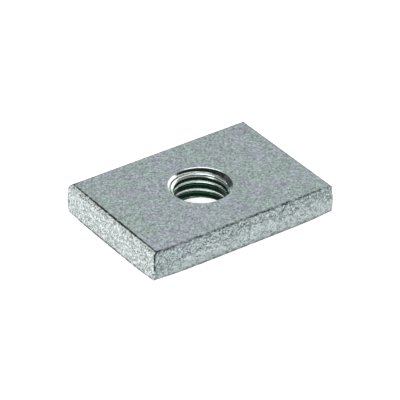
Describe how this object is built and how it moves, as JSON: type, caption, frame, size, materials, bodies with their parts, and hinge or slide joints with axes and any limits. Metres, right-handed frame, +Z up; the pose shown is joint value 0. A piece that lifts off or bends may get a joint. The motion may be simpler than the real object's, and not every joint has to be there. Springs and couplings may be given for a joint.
{
  "type": "t slot nut",
  "caption": "Flat rectangular plate nut for a T slot, blanked from steel strip, with a countersunk M10 tapped hole through its middle.",
  "frame": {"origin": "on the bottom face, under the middle of the tapped hole", "axes": "+X along the plate, +Y across it, +Z up through the hole, out of the face that bears on the slot's lips"},
  "size_m": [0.034, 0.0242, 0.0051],
  "materials": {
    "zinc_plated_steel": "blanked steel with a dull bright zinc plating, fine grained"
  },
  "bodies": {
    "root": {"slot_nut": "zinc_plated_steel"}
  },
  "joints": []
}
